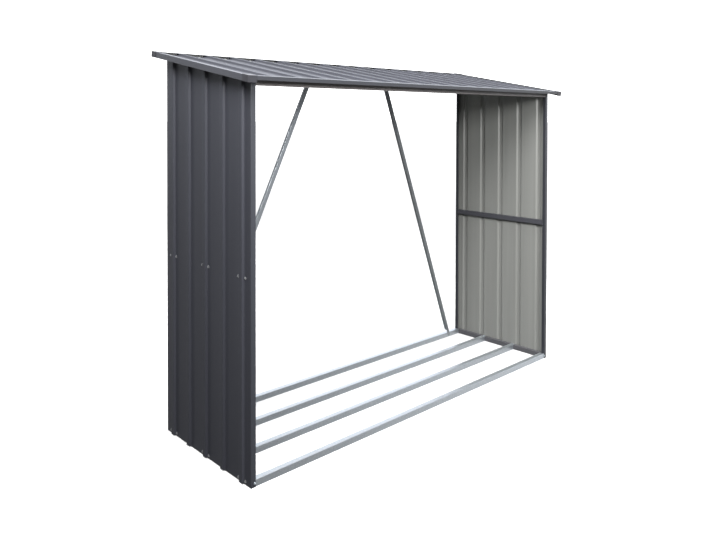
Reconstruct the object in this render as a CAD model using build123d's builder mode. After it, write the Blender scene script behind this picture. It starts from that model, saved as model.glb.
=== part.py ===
from build123d import *
from math import atan2, cos, radians, sin, tan
import os

# An open-fronted log store of folded and ribbed sheet steel, in millimetres.
# X runs along the store, -Y is the open front and Z is up. The origin lies on
# the ground under the middle of the roof.

# Overall sizes
wall_spacing = 2300      # between the outer faces of the left and right posts
wall_depth = 735         # front of the front posts to the back of the back posts
front_height = 1736      # underside of the roof sheets at the front of the posts
roof_pitch = 10.5        # degrees, falling towards the front
side_overhang = 55
front_overhang = 62
back_overhang = 50

# Steel thicknesses and fits
sheet_gauge = 0.5
frame_gauge = 0.8
trim_gauge = 0.6
sheet_bend = 2           # inside radius of the bends in a ribbed sheet
frame_bend = 1
trim_bend = 0.8
butt_gap = 0.2           # between the end of a bar and the face it is screwed to
seat_gap = 0.3           # between a trim or cap and what it covers

# Ribs of the roll-formed sheets
rib_base = 40
rib_top = 22
rib_height = 9
wall_rib_pitch = 150
wall_sheet_lift = 3      # lower edge of the wall sheets above the ground
roof_rib_pitch = 154.3
roof_sheet_count = 3
first_rib_margin = 151   # left edge of the roof to the centre of its first rib
lap_lip = 14             # flat beyond the last rib where one roof sheet laps another

# Frame sections
post_width = 25          # post face seen from the front
post_return = 20         # flange on the storage side of a post
post_flange = 40         # flange behind the wall sheet
post_lip = 7
rail_height = 30
rail_depth = 30
rail_lip = 8
rail_inset = 1           # outer rails behind the faces of the posts
mid_rail_height = 885    # centre line above the ground
top_rail_height = 36
lap_tab = 20             # floor rail flange that lies on the base rail

# Braces in the open back
brace_face = 25
brace_flange = 15
brace_notch = 45         # flange cut back at each end, so the face lies flat
left_brace_foot = 62     # from the outer face of the left posts
left_brace_head = 918
right_brace_foot = 135   # from the outer face of the right posts
right_brace_head = 814

# Edge trims and corner caps of the roof
trim_flange = 25
trim_lip = 10
verge_web = 28
eave_web = 18
cap_wall = 1.5
cap_leg = 45
cap_height = 30

# Levels and places worked out from the sizes above
roof_length = wall_spacing + 2 * side_overhang
roof_depth = front_overhang + wall_depth + back_overhang
roof_left = -roof_length / 2
post_left = -wall_spacing / 2
post_front = front_overhang - roof_depth / 2
post_back = post_front + wall_depth
clear_span = wall_spacing - 2 * post_width - 2 * butt_gap
bay_depth = wall_depth - 2 * post_return - 2 * butt_gap
slope = tan(radians(roof_pitch))
up_slope = Vector(0, cos(radians(roof_pitch)), sin(radians(roof_pitch)))
roof_normal = Vector(0, -sin(radians(roof_pitch)), cos(radians(roof_pitch)))
roof_plane = Plane(origin=(0, post_front, front_height), x_dir=(1, 0, 0), z_dir=roof_normal)
eave_run = front_overhang / cos(radians(roof_pitch))
back_run = (wall_depth + back_overhang) / cos(radians(roof_pitch))
flank_angle = atan2(rib_height, (rib_base - rib_top) / 2)
lap_rise = (sheet_gauge + butt_gap) / cos(flank_angle)
trim_seat = rib_height + sheet_gauge + lap_rise + seat_gap

os.makedirs("parts", exist_ok=True)


def roof_underside(y):
    """Height of the underside of the roof sheets at a place along the depth."""
    return front_height + (y - post_front) * slope


def ribbed_line(start, end, rib_centres):
    """Points of the underside of a ribbed sheet, with each rib a trapezium."""
    points = [(start, 0)]
    for centre in rib_centres:
        points.append((centre - rib_base / 2, 0))
        points.append((centre - rib_top / 2, rib_height))
        points.append((centre + rib_top / 2, rib_height))
        points.append((centre + rib_base / 2, 0))
    points.append((end, 0))
    return points


def folded_section(points, gauge, bend):
    """Section of a strip folded along a line, with its thickness to the left of the line.

    The bends have the radius given on their inside, and one thickness more on their outside.
    """
    near = [Vector(*point) for point in points]
    sides = [(b - a).normalized().rotate(Axis.Z, 90) for a, b in zip(near, near[1:])]
    corners = list(zip(near, sides[:1] + sides, sides + sides[-1:]))
    far = [point + (m + n) * (gauge / (1 + m.dot(n))) for point, m, n in corners]
    turns = [m.cross(n).Z for _, m, n in corners[1:-1]]
    near_bends = [bend + gauge if turn > 0 else bend for turn in turns]
    far_bends = [bend + gauge if turn < 0 else bend for turn in turns]
    radii = [0, *near_bends, 0, 0, *reversed(far_bends), 0]
    with BuildSketch() as section:
        with BuildLine():
            FilletPolyline(*near, *reversed(far), radius=radii, close=True)
        make_face()
    return section.sketch


def mirrored(piece):
    """The same piece for the other end of the store."""
    with BuildPart() as twin:
        mirror(piece.part, about=Plane.YZ)
    return twin


def save(piece, name):
    """Writes a finished piece to its own file."""
    piece.part.label = name
    export_step(piece.part, f"parts/{name}.step")


# End walls: one ribbed sheet each, ribs outwards, cut to the slope of the roof
wall_middle = (post_front + post_back) / 2
wall_edge = wall_depth / 2 - rail_inset
wall_rib_steps = int((2 * wall_edge - rib_base) // wall_rib_pitch)
wall_ribs = [(i - wall_rib_steps / 2) * wall_rib_pitch for i in range(wall_rib_steps + 1)]
wall_section_plane = Plane(
    origin=(post_left, wall_middle, wall_sheet_lift), x_dir=(0, 1, 0), z_dir=(0, 0, 1)
)
with BuildPart() as left_wall_sheet:
    with BuildSketch(wall_section_plane):
        wall_line = ribbed_line(-wall_edge, wall_edge, wall_ribs)
        add(folded_section(wall_line, sheet_gauge, sheet_bend))
    extrude(amount=roof_underside(post_back))
    split(bisect_by=roof_plane, keep=Keep.BOTTOM)
save(left_wall_sheet, "left_wall_sheet")
save(mirrored(left_wall_sheet), "right_wall_sheet")

# Corner posts: folded channels that stand on the ground and end under the roof
post_line = [
    (post_width - post_lip, post_return),
    (post_width, post_return),
    (post_width, 0),
    (0, 0),
    (0, post_flange),
]
for name, corner, turn in (("front", post_front, 1), ("back", post_back, -1)):
    outline = [(x, y * turn) for x, y in post_line][::-turn]
    with BuildPart() as post:
        with BuildSketch(Plane(origin=(post_left, corner, 0))):
            add(folded_section(outline, frame_gauge, frame_bend))
        extrude(amount=roof_underside(post_back))
        split(bisect_by=roof_plane, keep=Keep.BOTTOM)
    save(post, f"left_{name}_post")
    save(mirrored(post), f"right_{name}_post")

# Rails of the end walls: channels between the posts, with their webs inwards
side_rail_depth = post_width - frame_gauge - butt_gap
side_rail_front = post_front + post_return + butt_gap
side_rail_line = [
    (side_rail_depth, rail_height),
    (0, rail_height),
    (0, 0),
    (side_rail_depth, 0),
]
for name, level in (("base", 0), ("mid", mid_rail_height - rail_height / 2)):
    rail_plane = Plane(
        origin=(post_left + post_width, side_rail_front, level), x_dir=(-1, 0, 0), z_dir=(0, 1, 0)
    )
    with BuildPart() as side_rail:
        with BuildSketch(rail_plane):
            add(folded_section(side_rail_line, frame_gauge, frame_bend))
        extrude(amount=bay_depth)
    save(side_rail, f"left_{name}_rail")
    save(mirrored(side_rail), f"right_{name}_rail")

# Sloping rails under the ends of the roof, cut plumb at the posts
sloping_line = [
    (side_rail_depth, top_rail_height),
    (0, top_rail_height),
    (0, 0),
    (side_rail_depth, 0),
]
sloping_plane = Plane(
    origin=(
        post_left + post_width,
        side_rail_front,
        roof_underside(side_rail_front) - top_rail_height,
    ),
    x_dir=(-1, 0, 0),
    z_dir=(0, 1, 0),
)
with BuildPart() as sloping_rail:
    with BuildSketch(sloping_plane):
        add(folded_section(sloping_line, frame_gauge, frame_bend))
    extrude(amount=bay_depth / cos(radians(roof_pitch)), dir=up_slope)
save(sloping_rail, "left_top_rail")
save(mirrored(sloping_rail), "right_top_rail")


def long_plane(y, facing):
    """Section plane of a bar along the store, whose flanges point to +Y or -Y."""
    return Plane(
        origin=(-facing * clear_span / 2, y, 0), x_dir=(0, facing, 0), z_dir=(facing, 0, 0)
    )


# Top rails along the front and back, with the upper flange at the slope of the roof
for name, y, facing in (
    ("front", post_front + rail_inset, 1),
    ("back", post_back - rail_inset, -1),
):
    crown = roof_underside(y)
    top_rail_line = [
        (rail_depth, crown + facing * rail_depth * slope),
        (0, crown),
        (0, crown - top_rail_height),
        (rail_depth, crown - top_rail_height),
        (rail_depth, crown - top_rail_height + rail_lip),
    ]
    with BuildPart() as top_rail:
        with BuildSketch(long_plane(y, facing)):
            add(folded_section(top_rail_line, frame_gauge, frame_bend))
        extrude(amount=clear_span)
    save(top_rail, f"{name}_top_rail")

# Floor rails: lipped channels that hold the load, with their webs to the front
floor_rail_top = rail_height + frame_gauge
floor_rail_line = [
    (rail_depth, floor_rail_top - rail_lip),
    (rail_depth, floor_rail_top),
    (0, floor_rail_top),
    (0, 0),
    (rail_depth, 0),
    (rail_depth, rail_lip),
]
floor_rail_flat = rail_depth - 2 * (frame_bend + frame_gauge)
floor_rails = (("front", 0), ("front_middle", lap_tab), ("back_middle", lap_tab), ("back", 0))
floor_rail_step = (wall_depth - 2 * rail_inset - rail_depth) / (len(floor_rails) - 1)
for i, (name, tab) in enumerate(floor_rails):
    web = post_front + rail_inset + i * floor_rail_step
    with BuildPart() as floor_rail:
        with BuildSketch(long_plane(web, 1)):
            add(folded_section(floor_rail_line, frame_gauge, frame_bend))
        extrude(amount=clear_span)
        if tab:
            with BuildSketch(Plane.XY.offset(rail_height)):
                with Locations((0, web + rail_depth / 2)):
                    Rectangle(clear_span + 2 * tab, floor_rail_flat)
            extrude(amount=frame_gauge)
    save(floor_rail, f"{name}_floor_rail")

# Braces in the open back: angles with their ends flattened against the rails
brace_back = post_back - rail_inset - rail_depth - butt_gap
brace_foot_level = rail_height / 2
brace_head_level = roof_underside(post_back - rail_inset) - top_rail_height + brace_face / 2
brace_end_width = brace_face - frame_bend - frame_gauge
brace_line = [
    (brace_face - brace_end_width / 2, -brace_flange),
    (brace_face - brace_end_width / 2, frame_gauge),
    (-brace_end_width / 2, frame_gauge),
]
for name, foot, head in (
    ("left", post_left + left_brace_foot, post_left + left_brace_head),
    ("right", -post_left - right_brace_foot, -post_left - right_brace_head),
):
    low = Vector(foot, brace_back, brace_foot_level)
    high = Vector(head, brace_back, brace_head_level)
    run = (high - low).length
    face_plane = Plane(origin=(low + high) / 2, x_dir=high - low, z_dir=(0, -1, 0))
    flange_start = face_plane.from_local_coords(Vector(brace_notch - run / 2, 0, 0))
    with BuildPart() as brace:
        with BuildSketch(face_plane):
            SlotCenterToCenter(run, brace_end_width)
        extrude(amount=frame_gauge)
        with BuildSketch(
            Plane(origin=flange_start, x_dir=face_plane.y_dir, z_dir=face_plane.x_dir)
        ):
            add(folded_section(brace_line, frame_gauge, frame_bend))
        extrude(amount=run - 2 * brace_notch)
    save(brace, f"{name}_back_brace")

# Roof: three ribbed sheets, the middle one lapped over a rib of each outer one
sheet_inset = trim_gauge + seat_gap
sheet_run = eave_run + back_run - 2 * sheet_inset
first_rib = roof_left + first_rib_margin
rib_room = roof_length - first_rib_margin - trim_flange - rib_base / 2
rib_steps = int(rib_room // roof_rib_pitch)
outer_steps = rib_steps // roof_sheet_count
for name, first, last, rise in (
    ("left", 0, outer_steps, 0),
    ("middle", outer_steps, rib_steps - outer_steps, lap_rise),
    ("right", rib_steps - outer_steps, rib_steps, 0),
):
    centres = [first_rib + i * roof_rib_pitch for i in range(first, last + 1)]
    start = centres[0] - rib_base / 2 - lap_lip
    end = centres[-1] + rib_base / 2 + lap_lip
    if name == "left":
        start = roof_left + sheet_inset
    if name == "right":
        end = -roof_left - sheet_inset
    sheet_origin = roof_plane.from_local_coords(Vector(0, back_run - sheet_inset, rise))
    with BuildPart() as roof_sheet:
        with BuildSketch(Plane(origin=sheet_origin, x_dir=(1, 0, 0), z_dir=-up_slope)):
            add(folded_section(ribbed_line(start, end, centres), sheet_gauge, sheet_bend))
        extrude(amount=sheet_run)
    save(roof_sheet, f"{name}_roof_sheet")


def trim_line(web):
    """Outer line of an edge trim: flange on the ribs, web down, lip back under."""
    top = trim_seat + trim_gauge
    return [(trim_flange, top), (0, top), (0, top - web), (trim_lip, top - web)]


# Verge trims down the two ends of the roof
verge_origin = roof_plane.from_local_coords(Vector(roof_left, back_run, 0))
with BuildPart() as verge_trim:
    with BuildSketch(Plane(origin=verge_origin, x_dir=(1, 0, 0), z_dir=-up_slope)):
        add(folded_section(trim_line(verge_web), trim_gauge, trim_bend))
    extrude(amount=eave_run + back_run)
save(verge_trim, "left_verge_trim")
save(mirrored(verge_trim), "right_verge_trim")

# Eave and back trims, between the flanges of the verge trims
long_trim = roof_length - 2 * trim_flange - 2 * butt_gap
for name, run, inward, web in (
    ("front_eave", -eave_run, 1, eave_web),
    ("back_roof", back_run, -1, verge_web),
):
    trim_origin = roof_plane.from_local_coords(Vector(-inward * long_trim / 2, run, 0))
    with BuildPart() as long_edge:
        with BuildSketch(Plane(origin=trim_origin, x_dir=inward * up_slope, z_dir=(inward, 0, 0))):
            add(folded_section(trim_line(web), trim_gauge, trim_bend))
        extrude(amount=long_trim)
    save(long_edge, f"{name}_trim")

# Corner caps: moulded corners pushed over the ends of the trims
cap_reach = cap_wall + seat_gap
cap_top = trim_seat + trim_gauge + cap_reach
cap_round = cap_wall + 2 * seat_gap   # its inside stays clear of the trims' square ends
for name, run, inward in (
    ("front", -eave_run - cap_reach, 1),
    ("back", back_run + cap_reach, -1),
):
    outer_corner = roof_plane.from_local_coords(Vector(roof_left - cap_reach, run, cap_top))
    cap_plane = Plane(origin=outer_corner, x_dir=inward * up_slope, z_dir=-inward * roof_normal)
    with BuildPart() as cap:
        with BuildSketch(cap_plane):
            Rectangle(cap_leg, cap_leg, align=Align.MIN)
        extrude(amount=inward * cap_height)
        fillet(cap.edges().sort_by_distance(outer_corner)[:3], cap_round)
        offset(amount=-cap_wall, openings=cap.faces().sort_by_distance(outer_corner)[-3:])
    save(cap, f"left_{name}_cap")
    save(mirrored(cap), f"right_{name}_cap")
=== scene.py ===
import math

import bpy
from mathutils import Matrix, Vector


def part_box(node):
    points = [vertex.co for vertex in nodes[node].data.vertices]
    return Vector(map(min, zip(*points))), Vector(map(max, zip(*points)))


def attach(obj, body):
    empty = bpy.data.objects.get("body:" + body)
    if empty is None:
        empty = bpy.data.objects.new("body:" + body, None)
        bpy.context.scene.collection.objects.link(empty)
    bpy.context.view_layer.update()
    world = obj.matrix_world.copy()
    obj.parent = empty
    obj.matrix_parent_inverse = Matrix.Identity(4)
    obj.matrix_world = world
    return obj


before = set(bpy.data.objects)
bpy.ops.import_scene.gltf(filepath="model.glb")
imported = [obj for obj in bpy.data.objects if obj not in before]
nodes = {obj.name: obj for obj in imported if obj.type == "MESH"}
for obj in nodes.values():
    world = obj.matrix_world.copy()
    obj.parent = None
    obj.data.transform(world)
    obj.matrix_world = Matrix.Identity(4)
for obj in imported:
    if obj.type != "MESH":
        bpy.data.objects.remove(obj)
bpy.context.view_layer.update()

# The camera stands at eye height off the left front corner of the store, and looks almost level.
# The picture is shifted down so that the store fills it, as it does in the photograph.
picture_width, picture_height = 716, 540
focal_pixels = 675.38
horizon_row = 129.55
eye = Vector((-2.7487, -2.7253, 1.5664))
yaw, pitch, roll = 0.7519, 0.0179, 0.0024
ahead = Vector(
    (math.sin(yaw) * math.cos(pitch), math.cos(yaw) * math.cos(pitch), -math.sin(pitch))
)
level = Vector((math.cos(yaw), -math.sin(yaw), 0))
aloft = level.cross(ahead)
right = level * math.cos(roll) + aloft * math.sin(roll)
up = aloft * math.cos(roll) - level * math.sin(roll)
lens = bpy.data.cameras.new("camera")
lens.sensor_fit = "HORIZONTAL"
lens.lens = focal_pixels * lens.sensor_width / picture_width
lens.shift_y = (horizon_row - picture_height / 2) / picture_width
camera = bpy.data.objects.new("camera", lens)
camera.matrix_world = Matrix.Translation(eye) @ Matrix((right, up, -ahead)).transposed().to_4x4()
bpy.context.scene.collection.objects.link(camera)
bpy.context.scene.camera = camera


# The studio room is a soft light all round. Its right side has a bright band that the roof and
# the zinc mirror, and its left side is dim, because the dark left wall mirrors that one.
# The camera sees it plain white.
def feed(tree, target, inputs):
    """Sets each input of a node to a value, or links it to a socket."""
    for name, value in inputs.items():
        if isinstance(value, bpy.types.NodeSocket):
            tree.links.new(value, target.inputs[name])
        else:
            target.inputs[name].default_value = value


def node(tree, kind, inputs=None, **settings):
    """A new node with its settings and its inputs."""
    made = tree.nodes.new(kind)
    for name, value in settings.items():
        setattr(made, name, value)
    feed(tree, made, inputs or {})
    return made


def ramp(tree, factor, stops):
    """A colour ramp through stops, each a place and a colour."""
    made = node(tree, "ShaderNodeValToRGB", {"Fac": factor})
    band = made.color_ramp.elements
    while len(band) < len(stops):
        band.new(0.5)
    for element, (place, colour) in zip(band, stops):
        element.position = place
        element.color = (*colour, 1)
    return made.outputs["Color"]


def grey(tone):
    """The same tone of red, green and blue."""
    return (tone, tone, tone)


def blend(tree, factor, first, second):
    """A mix of two colours, each a colour or a socket."""
    sides = {"Factor": factor}
    for name, colour in (("A", first), ("B", second)):
        sides[name] = colour if isinstance(colour, bpy.types.NodeSocket) else (*colour, 1)
    return node(tree, "ShaderNodeMix", sides, data_type="RGBA").outputs["Result"]


def along(tree, vector, axis):
    """How far a vector points along an axis."""
    return node(
        tree, "ShaderNodeVectorMath", {0: vector, 1: axis}, operation="DOT_PRODUCT"
    ).outputs["Value"]


# heights in the room: 0 is straight down, 0.5 is level and 1 is straight up
room_level = 0.5
dim_tones = ((0.0, 0.006), (0.3, 0.006), (0.5, 0.025), (0.75, 0.075), (1.0, 0.12))
band_glow = (1.05, 1.1, 1.2)
bright_tones = (
    (0.0, grey(0.25)),
    (0.45, grey(0.46)),
    (0.53, band_glow),
    (0.62, band_glow),
    (0.72, grey(0.18)),
    (1.0, grey(0.14)),
)
bright_way = (0.85, 0.53, 0)
side_start, side_end = 0.12, 0.4
floor_bounce = 0.065
room_strength = 2.45

room = bpy.data.worlds.new("studio_room")
room.use_nodes = True
room_tree = room.node_tree
room_tree.nodes.clear()
room_view = node(room_tree, "ShaderNodeTexCoord").outputs["Generated"]
room_height = node(
    room_tree,
    "ShaderNodeMapRange",
    {"Value": along(room_tree, room_view, (0, 0, 1)), "From Min": -1.0, "From Max": 1.0},
).outputs["Result"]
room_side = node(
    room_tree,
    "ShaderNodeMapRange",
    {
        "Value": along(room_tree, room_view, bright_way),
        "From Min": side_start,
        "From Max": side_end,
    },
    interpolation_type="SMOOTHSTEP",
).outputs["Result"]
dim_side = ramp(room_tree, room_height, [(place, grey(tone)) for place, tone in dim_tones])
bright_side = ramp(room_tree, room_height, bright_tones)
room_light = blend(room_tree, room_side, dim_side, bright_side)
room_path = node(room_tree, "ShaderNodeLightPath").outputs
room_below = node(
    room_tree, "ShaderNodeMath", {0: room_height, 1: room_level}, operation="LESS_THAN"
).outputs["Value"]
room_bounce = node(
    room_tree,
    "ShaderNodeMath",
    {0: room_below, 1: room_path["Is Diffuse Ray"]},
    operation="MULTIPLY",
).outputs["Value"]
room_bounced = blend(room_tree, room_bounce, room_light, grey(floor_bounce))
room_colour = blend(room_tree, room_path["Is Camera Ray"], room_bounced, grey(1.0))
background = node(
    room_tree, "ShaderNodeBackground", {"Color": room_colour, "Strength": room_strength}
)
node(room_tree, "ShaderNodeOutputWorld", {"Surface": background.outputs["Background"]})
bpy.context.scene.world = room
bpy.context.scene.view_settings.view_transform = "Standard"

# The studio floor is a wide pale sheet just under the store. It glows more with distance, so
# that it stays white up to the horizon and still takes a soft shadow. The store doesn't mirror it.
floor_half = 200.0
floor_drop = 0.001
floor_corners = ((-1, -1), (1, -1), (1, 1), (-1, 1))
floor_tones = ((0.3, grey(0.80)), (0.7, grey(0.82)))
floor_cloud = 3.0
floor_roughness = 0.9
glow_start, glow_end = 3.0, 12.0
glow_least = 0.2


def new_finish(name):
    """A new material, with its node tree and its shader."""
    made = bpy.data.materials.new(name)
    made.use_nodes = True
    return made, made.node_tree, made.node_tree.nodes["Principled BSDF"]


floor_mesh = bpy.data.meshes.new("studio_floor")
floor_mesh.from_pydata(
    [(x * floor_half, y * floor_half, -floor_drop) for x, y in floor_corners],
    [],
    [range(len(floor_corners))],
)
floor = bpy.data.objects.new("studio_floor", floor_mesh)
bpy.context.scene.collection.objects.link(floor)
floor_paint, floor_tree, floor_shader = new_finish("studio_floor")
floor_place = node(floor_tree, "ShaderNodeTexCoord").outputs["Object"]
floor_noise = node(
    floor_tree, "ShaderNodeTexNoise", {"Vector": floor_place, "Scale": floor_cloud}
).outputs["Fac"]
floor_reach = node(
    floor_tree, "ShaderNodeVectorMath", {0: floor_place}, operation="LENGTH"
).outputs["Value"]
floor_glow = node(
    floor_tree,
    "ShaderNodeMapRange",
    {"Value": floor_reach, "From Min": glow_start, "From Max": glow_end, "To Min": glow_least},
).outputs["Result"]
feed(
    floor_tree,
    floor_shader,
    {
        "Base Color": ramp(floor_tree, floor_noise, floor_tones),
        "Roughness": floor_roughness,
        "Specular IOR Level": 0.0,
        "Emission Color": (1, 1, 1, 1),
        "Emission Strength": floor_glow,
    },
)
floor_mesh.materials.append(floor_paint)
floor.visible_diffuse = False
floor.visible_glossy = False


# The lamps are four soft boxes. The left and front ones light the walls, and the steel may
# mirror them. The overhead and back ones fill the roof and the back, and leave no gleam.
def soft_box(name, place, target, size, watts, mirrored):
    """A square soft lamp that points at a target and stays out of the picture."""
    light = bpy.data.lights.new(name, "AREA")
    light.shape = "SQUARE"
    light.size = size
    light.energy = watts
    made = bpy.data.objects.new(name, light)
    made.location = place
    made.rotation_euler = (Vector(target) - Vector(place)).to_track_quat("-Z", "Y").to_euler()
    made.visible_camera = False
    made.visible_glossy = mirrored
    bpy.context.scene.collection.objects.link(made)


soft_box("left_lamp", (-2.6, -1.7, 3.35), (-1.15, -0.15, 1.2), size=1.6, watts=200, mirrored=True)
soft_box("front_lamp", (-0.9, -3.2, 2.4), (0.5, 0.0, 1.0), size=0.9, watts=108, mirrored=True)
soft_box("overhead_lamp", (0.6, -0.6, 5.0), (0.0, 0.0, 0.0), size=3.0, watts=330, mirrored=False)
soft_box("back_lamp", (1.5, 4.5, 3.5), (0.0, 0.3, 1.0), size=3.0, watts=120, mirrored=False)

# Corner posts: channels folded from coil-coated steel, 0.8 mm thick, that stand on the ground.
# The dark top coat is on the outside and a pale backing coat is inside the fold.
# The sheared ends show bare zinc.
VECTOR, FLOAT, COLOUR = "NodeSocketVector", "NodeSocketFloat", "NodeSocketColor"
# the posts take a darker copy of the walls' top coat, which is painted shade that dims their front
# faces
post_coat_painted_shade = (0.036, 0.038, 0.046)
backing_coat = (0.262, 0.266, 0.252)
bare_zinc = (0.42, 0.43, 0.44)
rolled_up, rolled_across, rolled_back = (0, 0, 1), (1, 0, 0), (0, 1, 0)
cut_sharpness = 0.9
streak_scale, streak_detail = 22.0, 4.0
streak_depth, streak_gloss, streak_stretch = 0.3, 0.12, 0.03
peel_scale, peel_detail, peel_height = 420.0, 1.0, 0.08
wave_scale, wave_detail = 5.0, 0.0
film_strength, film_thickness = 0.6, 0.0006
bar_waves, sheet_waves = 0.6, 1.0
paint_dullness, trim_dullness = 0.34, 0.26


def group(name, inputs, outputs):
    """A new shader node group with its named sockets, and its input and output nodes."""
    tree = bpy.data.node_groups.new(name, "ShaderNodeTree")
    for way, sockets in (("INPUT", inputs), ("OUTPUT", outputs)):
        for socket, kind in sockets:
            tree.interface.new_socket(name=socket, in_out=way, socket_type=kind)
    return tree, tree.nodes.new("NodeGroupInput").outputs, tree.nodes.new("NodeGroupOutput")


def sum_of(tree, kind, first, second=0.0, third=0.0):
    """The result of one sum on up to three values."""
    return node(
        tree, "ShaderNodeMath", {0: first, 1: second, 2: third}, operation=kind
    ).outputs["Value"]


def vector_sum(tree, kind, inputs):
    """The vector that comes of one sum on vectors."""
    return node(tree, "ShaderNodeVectorMath", inputs, operation=kind).outputs["Vector"]


def noise(tree, place, scale, detail):
    """A noise over a place, from 0 to 1."""
    return node(
        tree, "ShaderNodeTexNoise", {"Vector": place, "Scale": scale, "Detail": detail}
    ).outputs["Fac"]


# the side of the steel that faces a middle point
backing_side, side_in, side_out = group("backing_side", [("Middle", VECTOR)], [("Mask", FLOAT)])
side_place = node(backing_side, "ShaderNodeTexCoord").outputs["Object"]
side_facing = node(backing_side, "ShaderNodeNewGeometry").outputs["True Normal"]
side_arm = vector_sum(backing_side, "SUBTRACT", {0: side_place, 1: side_in["Middle"]})
side_reach = along(backing_side, side_arm, side_facing)
feed(backing_side, side_out, {"Mask": sum_of(backing_side, "LESS_THAN", side_reach, 0.0)})

# the sheared ends, which face along the way that the strip was rolled
cut_end, cut_in, cut_out = group("cut_end", [("Rolled Along", VECTOR)], [("Mask", FLOAT)])
cut_facing = node(cut_end, "ShaderNodeNewGeometry").outputs["True Normal"]
cut_turn = sum_of(cut_end, "ABSOLUTE", along(cut_end, cut_facing, cut_in["Rolled Along"]))
feed(cut_end, cut_out, {"Mask": sum_of(cut_end, "GREATER_THAN", cut_turn, cut_sharpness)})

# the paint film: faint streaks along the strip, a fine orange peel and slow waves of the sheet
paint_film, film_in, film_out = group(
    "paint_film",
    [("Stretch", VECTOR), ("Streaks", FLOAT), ("Waves", FLOAT), ("Dullness", FLOAT)],
    [("Shade", FLOAT), ("Roughness", FLOAT), ("Height", FLOAT)],
)
film_place = node(paint_film, "ShaderNodeTexCoord").outputs["Object"]
film_along = vector_sum(paint_film, "MULTIPLY", {0: film_place, 1: film_in["Stretch"]})
film_streaks = noise(paint_film, film_along, streak_scale, streak_detail)
film_peel = noise(paint_film, film_place, peel_scale, peel_detail)
film_waves = noise(paint_film, film_along, wave_scale, wave_detail)
film_swing = sum_of(paint_film, "SUBTRACT", film_streaks, 0.5)
film_bend = sum_of(paint_film, "MULTIPLY", film_waves, film_in["Waves"])
feed(
    paint_film,
    film_out,
    {
        "Shade": sum_of(paint_film, "MULTIPLY_ADD", film_swing, film_in["Streaks"], 1.0),
        "Roughness": sum_of(
            paint_film, "MULTIPLY_ADD", film_streaks, streak_gloss, film_in["Dullness"]
        ),
        "Height": sum_of(paint_film, "MULTIPLY_ADD", film_peel, peel_height, film_bend),
    },
)


def bumped(tree, height, strength, distance):
    """The normal of a surface with a fine relief on it."""
    return node(
        tree, "ShaderNodeBump", {"Height": height, "Strength": strength, "Distance": distance}
    ).outputs["Normal"]


def coated_steel(name, coat, middle, rolled, waves=bar_waves, dullness=paint_dullness):
    """Coil-coated steel, pale on the side that faces the middle and bare at its sheared ends."""
    made, tree, shader = new_finish(name)
    backed = node(tree, "ShaderNodeGroup", {"Middle": middle}, node_tree=backing_side)
    sheared = node(tree, "ShaderNodeGroup", {"Rolled Along": rolled}, node_tree=cut_end)
    film = node(
        tree,
        "ShaderNodeGroup",
        {
            "Stretch": [streak_stretch if way else 1.0 for way in rolled],
            "Streaks": streak_depth,
            "Waves": waves,
            "Dullness": dullness,
        },
        node_tree=paint_film,
    ).outputs
    paint = blend(tree, backed.outputs["Mask"], coat, backing_coat)
    shaded = vector_sum(tree, "SCALE", {0: paint, "Scale": film["Shade"]})
    feed(
        tree,
        shader,
        {
            "Base Color": blend(tree, sheared.outputs["Mask"], shaded, bare_zinc),
            "Roughness": film["Roughness"],
            "Normal": bumped(tree, film["Height"], film_strength, film_thickness),
        },
    )
    return made


def dress(name, material):
    """Gives a CAD node its finish."""
    for slot in nodes[name].material_slots:
        slot.material = material


def middle_of(name):
    """The middle of a CAD node's box."""
    low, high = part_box(name)
    return (Vector(low) + Vector(high)) / 2


for name in ("left_front_post", "left_back_post", "right_front_post", "right_back_post"):
    dress(name, coated_steel(name, post_coat_painted_shade, middle_of(name), rolled_up))

# End wall rails: the base, middle and top channels between the posts, of coil-coated steel.
# Their webs face the store with the dark coat outside, and the wall sheets are screwed to them.
base_coat = (0.115, 0.115, 0.125)
mid_coat = (0.064, 0.065, 0.076)
top_rail_coat = (0.050, 0.051, 0.062)
for side in ("left", "right"):
    for place, coat in (("base", base_coat), ("mid", mid_coat), ("top", top_rail_coat)):
        name = f"{side}_{place}_rail"
        dress(name, coated_steel(name, coat, middle_of(name), rolled_back))

# Front and back top rails: lipped channels of steel with a paler coat, like a primer.
# They run from post to post under the roof sheets, which are screwed down to them.
primer_coat = (0.205, 0.188, 0.185)
for name in ("front_top_rail", "back_top_rail"):
    dress(name, coated_steel(name, primer_coat, middle_of(name), rolled_across))

# End wall sheets: coil-coated steel, 0.5 mm thick, roll-formed with five upright ribs.
# The dark coat is outside and the pale backing coat faces the store.
top_coat = (0.045, 0.047, 0.058)
store_middle = (0.0, 0.0, 0.9)
wall_steel = coated_steel("wall_steel", top_coat, store_middle, rolled_up, waves=sheet_waves)
for name in ("left_wall_sheet", "right_wall_sheet"):
    dress(name, wall_steel)

# Floor rails: four lipped channels of hot-dip galvanised steel that carry the load.
# They run from end wall to end wall, and the middle two rest on the base rails by their tabs.
spangle_dark, spangle_light = (0.50, 0.54, 0.58), (0.60, 0.635, 0.665)
spangle_smooth, spangle_rough = 0.34, 0.46
spangle_strength, spangle_relief = 0.2, 0.0001
zinc_metal = 0.9
# the floor rails' zinc is scaled 1.28 times brighter than the braces' zinc, which is painted light
rail_grain, rail_painted_brightness = 240.0, 1.28

# the Tone input scales the zinc's colour, and above 1 it is painted light
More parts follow.
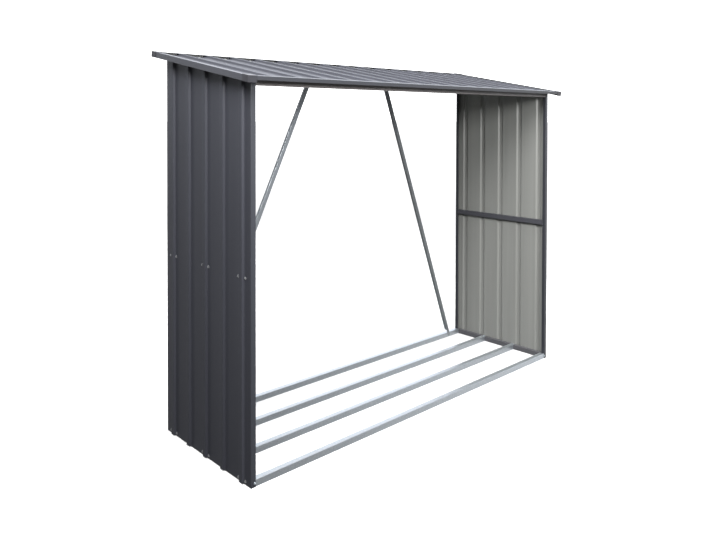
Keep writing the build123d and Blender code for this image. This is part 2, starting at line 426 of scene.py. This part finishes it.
zinc_spangle, spangle_in, spangle_out = group(
    "zinc_spangle",
    [("Grain", FLOAT), ("Tone", FLOAT)],
    [("Colour", COLOUR), ("Roughness", FLOAT), ("Height", FLOAT)],
)
spangle_place = node(zinc_spangle, "ShaderNodeTexCoord").outputs["Object"]
spangle_cells = node(
    zinc_spangle,
    "ShaderNodeTexVoronoi",
    {"Vector": spangle_place, "Scale": spangle_in["Grain"]},
).outputs["Color"]
spangle_draw = node(zinc_spangle, "ShaderNodeSeparateColor", {"Color": spangle_cells}).outputs
spangle_shade = ramp(
    zinc_spangle, spangle_draw["Red"], ((0.0, spangle_dark), (1.0, spangle_light))
)
spangle_gloss = node(
    zinc_spangle,
    "ShaderNodeMapRange",
    {"Value": spangle_draw["Green"], "To Min": spangle_smooth, "To Max": spangle_rough},
).outputs["Result"]
feed(
    zinc_spangle,
    spangle_out,
    {
        "Colour": vector_sum(
            zinc_spangle, "SCALE", {0: spangle_shade, "Scale": spangle_in["Tone"]}
        ),
        "Roughness": spangle_gloss,
        "Height": spangle_draw["Blue"],
    },
)


def galvanised_steel(name, grain, tone=1.0):
    """Hot-dip galvanised steel, with a spangle of so many grains to the metre."""
    made, tree, shader = new_finish(name)
    spangle = node(
        tree, "ShaderNodeGroup", {"Grain": grain, "Tone": tone}, node_tree=zinc_spangle
    ).outputs
    feed(
        tree,
        shader,
        {
            "Base Color": spangle["Colour"],
            "Metallic": zinc_metal,
            "Roughness": spangle["Roughness"],
            "Normal": bumped(tree, spangle["Height"], spangle_strength, spangle_relief),
        },
    )
    return made


rail_zinc = galvanised_steel("rail_zinc", rail_grain, rail_painted_brightness)
for place in ("front", "front_middle", "back_middle", "back"):
    dress(f"{place}_floor_rail", rail_zinc)

# Back braces: two galvanised angles that cross the open back from the floor to the top rail.
# Their ends are flattened and bolted to the back rails.
brace_grain = 300.0
brace_zinc = galvanised_steel("brace_zinc", brace_grain)
for name in ("left_back_brace", "right_back_brace"):
    dress(name, brace_zinc)

# Roof sheets: three coil-coated sheets with ribs down the slope, lapped over a rib each.
# They are screwed down to the top rails, with the dark coat on top and the pale one below.
far_below = (0.0, 0.0, -10.0)
roof_steel = coated_steel("roof_steel", top_coat, far_below, rolled_back, waves=sheet_waves)
for name in ("left_roof_sheet", "middle_roof_sheet", "right_roof_sheet"):
    dress(name, roof_steel)

# Edge trims: folded strips of coated steel, 0.6 mm thick, that cover the edges of the roof.
# The verge trims run down its two ends, and the eave and back trims lie between them.
# the verge trims take a paler copy of the trim coat than the eave and back trims, which is painted
# light on their outward faces
verge_coat_painted_light = (0.068, 0.070, 0.081)
eave_coat = (0.048, 0.050, 0.058)
for name, coat, rolled in (
    ("left_verge_trim", verge_coat_painted_light, rolled_back),
    ("right_verge_trim", verge_coat_painted_light, rolled_back),
    ("front_eave_trim", eave_coat, rolled_across),
    ("back_roof_trim", eave_coat, rolled_across),
):
    dress(name, coated_steel(name, coat, middle_of(name), rolled, dullness=trim_dullness))

# Corner caps: dark moulded plastic, 1.5 mm thick, with a fine moulded grain.
# Each is pushed over the ends of two trims at a corner of the roof.
cap_tones = ((0.3, (0.040, 0.040, 0.046)), (0.7, (0.048, 0.048, 0.054)))
cap_smooth, cap_rough = 0.24, 0.36
cap_grain_scale, cap_cloud_scale, cap_detail = 900.0, 40.0, 2.0
cap_grain_strength, cap_grain_depth = 0.4, 0.0001

cap_plastic, cap_tree, cap_shader = new_finish("cap_plastic")
cap_place = node(cap_tree, "ShaderNodeTexCoord").outputs["Object"]
cap_grain = noise(cap_tree, cap_place, cap_grain_scale, cap_detail)
cap_cloud = noise(cap_tree, cap_place, cap_cloud_scale, cap_detail)
cap_gloss = node(
    cap_tree,
    "ShaderNodeMapRange",
    {"Value": cap_cloud, "To Min": cap_smooth, "To Max": cap_rough},
).outputs["Result"]
feed(
    cap_tree,
    cap_shader,
    {
        "Base Color": ramp(cap_tree, cap_cloud, cap_tones),
        "Roughness": cap_gloss,
        "Normal": bumped(cap_tree, cap_grain, cap_grain_strength, cap_grain_depth),
    },
)
for name in ("left_front_cap", "left_back_cap", "right_front_cap", "right_back_cap"):
    dress(name, cap_plastic)

# Screws and bolts: plated steel, with hexagon heads on round washers. Those in the wall and roof
# sheets are painted to match. They hold the sheets to the rails, the middle floor rails to the
# base rails, and the braces to the back rails, and each post has one at its foot.
INTEGER, MESH, FINISH = "NodeSocketInt", "NodeSocketGeometry", "NodeSocketMaterial"
hexagon = 6
washer_sides = 18
head_chamfer = 0.8
sheet_screw = {
    "Head Radius": 0.0042,
    "Head Height": 0.0026,
    "Washer Radius": 0.0062,
    "Washer Height": 0.001,
}
frame_bolt = {
    "Head Radius": 0.0055,
    "Head Height": 0.0036,
    "Washer Radius": 0.0080,
    "Washer Height": 0.0012,
}
screw_paint = (0.055, 0.055, 0.062)
plating_grain = 900.0

screw_heads = bpy.data.node_groups.new("screw_heads", "GeometryNodeTree")
screw_heads.is_modifier = True
screw_sockets = {
    name: screw_heads.interface.new_socket(name=name, in_out="INPUT", socket_type=kind)
    for name, kind in (
        ("Places", MESH),
        ("Head Radius", FLOAT),
        ("Head Height", FLOAT),
        ("Washer Radius", FLOAT),
        ("Washer Height", FLOAT),
        ("Turn Seed", INTEGER),
        ("Finish", FINISH),
    )
}
screw_heads.interface.new_socket(name="Screws", in_out="OUTPUT", socket_type=MESH)
screw_in = screw_heads.nodes.new("NodeGroupInput").outputs
screw_out = screw_heads.nodes.new("NodeGroupOutput")
head_radius, head_height = screw_in["Head Radius"], screw_in["Head Height"]
washer_radius, washer_height = screw_in["Washer Radius"], screw_in["Washer Height"]


def screw_disc(sides, low_radius, high_radius, height, lift):
    """A round or hexagonal disc of the screw's head, lifted along its axis."""
    disc = node(
        screw_heads,
        "GeometryNodeMeshCone",
        {
            "Vertices": sides,
            "Radius Bottom": low_radius,
            "Radius Top": high_radius,
            "Depth": height,
        },
    ).outputs["Mesh"]
    place = node(screw_heads, "ShaderNodeCombineXYZ", {"Z": lift}).outputs["Vector"]
    return node(
        screw_heads, "GeometryNodeTransform", {"Geometry": disc, "Translation": place}
    ).outputs["Geometry"]


crown_radius = sum_of(screw_heads, "MULTIPLY", head_radius, head_chamfer)
crown_height = sum_of(screw_heads, "MULTIPLY", head_height, 1 - head_chamfer)
crown_lift = sum_of(screw_heads, "ADD", washer_height, head_height)
screw_parts = node(screw_heads, "GeometryNodeJoinGeometry")
for disc in (
    screw_disc(washer_sides, washer_radius, washer_radius, washer_height, 0.0),
    screw_disc(hexagon, head_radius, head_radius, head_height, washer_height),
    screw_disc(hexagon, head_radius, crown_radius, crown_height, crown_lift),
):
    screw_heads.links.new(disc, screw_parts.inputs["Geometry"])
screw_facing = node(
    screw_heads, "GeometryNodeInputNamedAttribute", {"Name": "facing"}, data_type="FLOAT_VECTOR"
).outputs["Attribute"]
screw_upright = node(
    screw_heads, "FunctionNodeAlignRotationToVector", {"Vector": screw_facing}, axis="Z"
).outputs["Rotation"]
screw_turn = node(
    screw_heads,
    "FunctionNodeRandomValue",
    {"Min": -math.pi, "Max": math.pi, "Seed": screw_in["Turn Seed"]},
    data_type="FLOAT",
).outputs["Value"]
screw_spin = node(
    screw_heads, "FunctionNodeAxisAngleToRotation", {"Axis": (0, 0, 1), "Angle": screw_turn}
).outputs["Rotation"]
screw_way = node(
    screw_heads,
    "FunctionNodeRotateRotation",
    {"Rotation": screw_upright, "Rotate By": screw_spin},
    rotation_space="LOCAL",
).outputs["Rotation"]
screw_set = node(
    screw_heads,
    "GeometryNodeInstanceOnPoints",
    {
        "Points": screw_in["Places"],
        "Instance": screw_parts.outputs["Geometry"],
        "Rotation": screw_way,
    },
).outputs["Instances"]
screw_mesh = node(
    screw_heads, "GeometryNodeRealizeInstances", {"Geometry": screw_set}
).outputs["Geometry"]
screw_done = node(
    screw_heads,
    "GeometryNodeSetMaterial",
    {"Geometry": screw_mesh, "Material": screw_in["Finish"]},
).outputs["Geometry"]
feed(screw_heads, screw_out, {"Screws": screw_done})


def screws(name, places, sizes, finish):
    """One piece with a screw at each place, which is a point and the way that it faces."""
    mesh = bpy.data.meshes.new(name)
    mesh.from_pydata([point for point, facing in places], [], [])
    ways = mesh.attributes.new("facing", "FLOAT_VECTOR", "POINT")
    for way, (point, facing) in zip(ways.data, places):
        way.vector = facing
    piece = bpy.data.objects.new(name, mesh)
    bpy.context.scene.collection.objects.link(piece)
    maker = piece.modifiers.new("screw_heads", "NODES")
    maker.node_group = screw_heads
    for socket, value in {**sizes, "Turn Seed": len(places), "Finish": finish}.items():
        maker[screw_sockets[socket].identifier] = value
    view = bpy.context.evaluated_depsgraph_get()
    made = bpy.data.meshes.new_from_object(piece.evaluated_get(view), depsgraph=view)
    piece.modifiers.remove(maker)
    piece.data = made
    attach(piece, "root")


painted = coated_steel("painted_screw", screw_paint, far_below, rolled_across)
plated = galvanised_steel("plated_screw", plating_grain)
wall_low, wall_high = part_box("left_wall_sheet")
posts_left, posts_front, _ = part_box("left_front_post")[0]
posts_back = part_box("left_back_post")[1][1]

# pairs of screws in the wall sheets, beside the outer ribs and the middle one
sheet_gauge = 0.0005
wall_face = posts_left - sheet_gauge
wall_middle = (wall_low[1] + wall_high[1]) / 2
wall_rib_pitch = 0.150
wall_screw_spread = 0.027
wall_screw_levels = (0.0155, 0.885)
for side, way in (("left", 1), ("right", -1)):
    wall_places = [
        (
            (
                wall_face * way,
                wall_middle + rib * wall_rib_pitch + step * wall_screw_spread,
                screw_level,
            ),
            (-way, 0, 0),
        )
        for rib in (-2, 0, 2)
        for step in (-1, 1)
        for screw_level in wall_screw_levels
    ]
    screws(f"{side}_wall_screws", wall_places, sheet_screw, painted)

# a bolt through the foot of each post
post_bolt_inset, post_bolt_level = 0.0188, 0.016
post_places = [
    (((posts_left + post_bolt_inset) * way, face, post_bolt_level), (0, facing, 0))
    for way in (1, -1)
    for face, facing in ((posts_front, -1), (posts_back, 1))
]
screws("post_bolts", post_places, sheet_screw, plated)

# a screw through each tab of the middle floor rails
tab_middle = 0.010
tab_places = []
for name in ("front_middle_floor_rail", "back_middle_floor_rail"):
    tab_low, tab_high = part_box(name)
    for x in (tab_low[0] + tab_middle, tab_high[0] - tab_middle):
        tab_places.append(((x, (tab_low[1] + tab_high[1]) / 2, tab_high[2]), (0, 0, 1)))
screws("floor_rail_screws", tab_places, sheet_screw, plated)

# a bolt through each flattened end of the braces
brace_gauge = 0.0008
brace_end = 0.0116
brace_places = []
for name, foot_on_left in (("left_back_brace", True), ("right_back_brace", False)):
    brace_low, brace_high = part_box(name)
    brace_face = brace_high[1] - brace_gauge
    foot_x, head_x = brace_low[0] + brace_end, brace_high[0] - brace_end
    if not foot_on_left:
        foot_x, head_x = head_x, foot_x
    brace_places.append(((foot_x, brace_face, brace_low[2] + brace_end), (0, -1, 0)))
    brace_places.append(((head_x, brace_face, brace_high[2] - brace_end), (0, -1, 0)))
screws("brace_bolts", brace_places, frame_bolt, plated)

# a screw in every valley of the roof over each top rail, raised where the middle sheet laps
roof_pitch = math.radians(10.5)
roof_normal = Vector((0, -math.sin(roof_pitch), math.cos(roof_pitch)))
front_height = 1.736
lap_rise = 0.00099
roof_rib_pitch = 0.1543
first_rib = -1.205 + 0.151
valley_count = 14
raised_valleys = range(4, 10)
rail_middle = 0.016
roof_places = []
for valley in range(valley_count):
    x = first_rib + (valley + 0.5) * roof_rib_pitch
    rise = sheet_gauge + (lap_rise if valley in raised_valleys else 0.0)
    for y in (posts_front + rail_middle, posts_back - rail_middle):
        foot = Vector((x, y, front_height + (y - posts_front) * math.tan(roof_pitch)))
        roof_places.append((foot + roof_normal * rise, roof_normal))
screws("roof_screws", roof_places, sheet_screw, painted)
